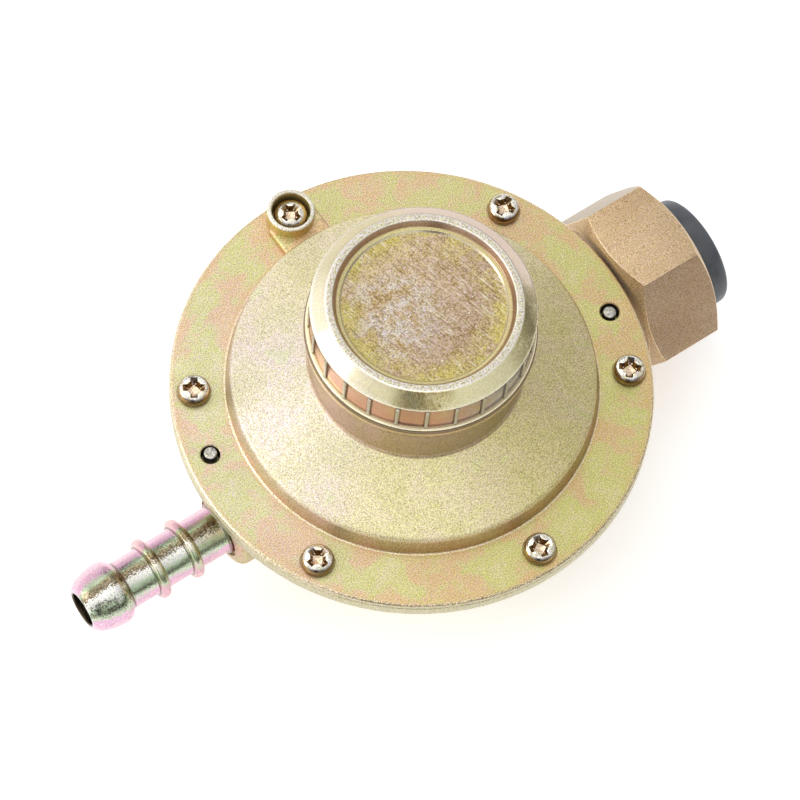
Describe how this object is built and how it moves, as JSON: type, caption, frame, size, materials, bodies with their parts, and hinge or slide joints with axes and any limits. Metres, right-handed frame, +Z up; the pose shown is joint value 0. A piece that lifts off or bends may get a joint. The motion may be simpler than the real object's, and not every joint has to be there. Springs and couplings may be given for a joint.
{
  "type": "gas pressure regulator",
  "caption": "Low-pressure gas regulator: round die-cast body with a screw cap over its adjuster, a hexagon union nut with a plug at the inlet and a hose barb at the outlet.",
  "frame": {"origin": "centre of the flat base under the round body, on the axis of the diaphragm", "axes": "+Z up along the axis of the diaphragm and the screw cap; +X along the inlet, from the hose barb to the union nut"},
  "size_m": [0.135, 0.086, 0.0624],
  "materials": {
    "zinc_casting": "yellow chromated die casting with a fine grain",
    "cap_casting": "worn yellow chromated die casting",
    "plated_steel": "yellow zinc plated, satin",
    "bare_steel": "bright",
    "brass": "turned",
    "blasted_brass": "blasted matt",
    "plated_barb": "turned, iridescent chromate",
    "aluminium_washer": "plain",
    "black_rubber": "matt",
    "plug_plastic": "moulded, satin"
  },
  "bodies": {
    "housing": {"lower_body": "zinc_casting", "cover": "zinc_casting", "cover_screws": "plated_steel", "boss_screw": "plated_steel", "dowel_pins": "bare_steel", "diaphragm": "black_rubber", "lever_pin": "bare_steel", "inlet_jet": "brass", "inlet_nipple": "brass", "nipple_washer": "aluminium_washer", "inlet_filter": "brass", "nose_gasket": "black_rubber", "hose_barb": "plated_barb", "barb_seal": "black_rubber", "main_spring": "bare_steel"},
    "cap_carrier": {"cap_seal": "black_rubber"},
    "cap": {"screw_cap": "cap_casting"},
    "adjuster_carrier": {"spring_top_plate": "plated_steel"},
    "adjuster": {"adjusting_screw": "brass"},
    "diaphragm_centre": {"lower_plate": "plated_steel", "spring_seat": "plated_steel", "diaphragm_stem": "brass", "stem_nut": "plated_steel"},
    "lever_arm": {"lever": "plated_steel"},
    "valve": {"valve_plunger": "brass", "valve_pad": "black_rubber"},
    "nut": {"union_nut": "blasted_brass"},
    "plug": {"protective_plug": "plug_plastic"}
  },
  "joints": [
    {"name": "cap_lift", "type": "slide", "parent": "housing", "child": "cap_carrier", "axis": [0, 0, 1], "range_m": [0, 0.009]},
    {"name": "cap_turn", "type": "hinge", "parent": "cap_carrier", "child": "cap", "pos_m": [0, 0, 0.055], "axis": [0, 0, 1], "range_deg": [0, 2161]},
    {"name": "adjuster_lift", "type": "slide", "parent": "housing", "child": "adjuster_carrier", "axis": [0, 0, 1], "range_m": [0, 0.005], "deforming": ["main_spring"]},
    {"name": "adjuster_turn", "type": "hinge", "parent": "adjuster_carrier", "child": "adjuster", "pos_m": [0, 0, 0.048], "axis": [0, 0, 1], "range_deg": [0, 1801]},
    {"name": "diaphragm_lift", "type": "slide", "parent": "housing", "child": "diaphragm_centre", "axis": [0, 0, 1], "range_m": [0, 0.0022], "stiffness_N_per_m": 1500, "springref_m": -0.008, "deforming": ["diaphragm", "main_spring"]},
    {"name": "lever_tilt", "type": "hinge", "parent": "housing", "child": "lever_arm", "pos_m": [0.015, 0, 0.012], "axis": [0, 1, 0], "range_deg": [0, 8.5]},
    {"name": "valve_slide", "type": "slide", "parent": "housing", "child": "valve", "axis": [1, 0, 0], "range_m": [0, 0.0009]},
    {"name": "nut_spin", "type": "hinge", "parent": "housing", "child": "nut", "pos_m": [0.05, 0, 0.018], "axis": [1, 0, 0], "continuous": true},
    {"name": "plug_pull", "type": "slide", "parent": "nut", "child": "plug", "axis": [1, 0, 0], "range_m": [0, 0.045]}
  ],
  "couplings": [
    {"joint": "cap_turn", "follows": "cap_lift", "rad_per_m": 4188.8},
    {"joint": "adjuster_turn", "follows": "adjuster_lift", "rad_per_m": 6283.2},
    {"joint": "lever_tilt", "follows": "diaphragm_lift", "rad_per_m": 66.67},
    {"joint": "valve_slide", "follows": "diaphragm_lift", "ratio": 0.4}
  ]
}
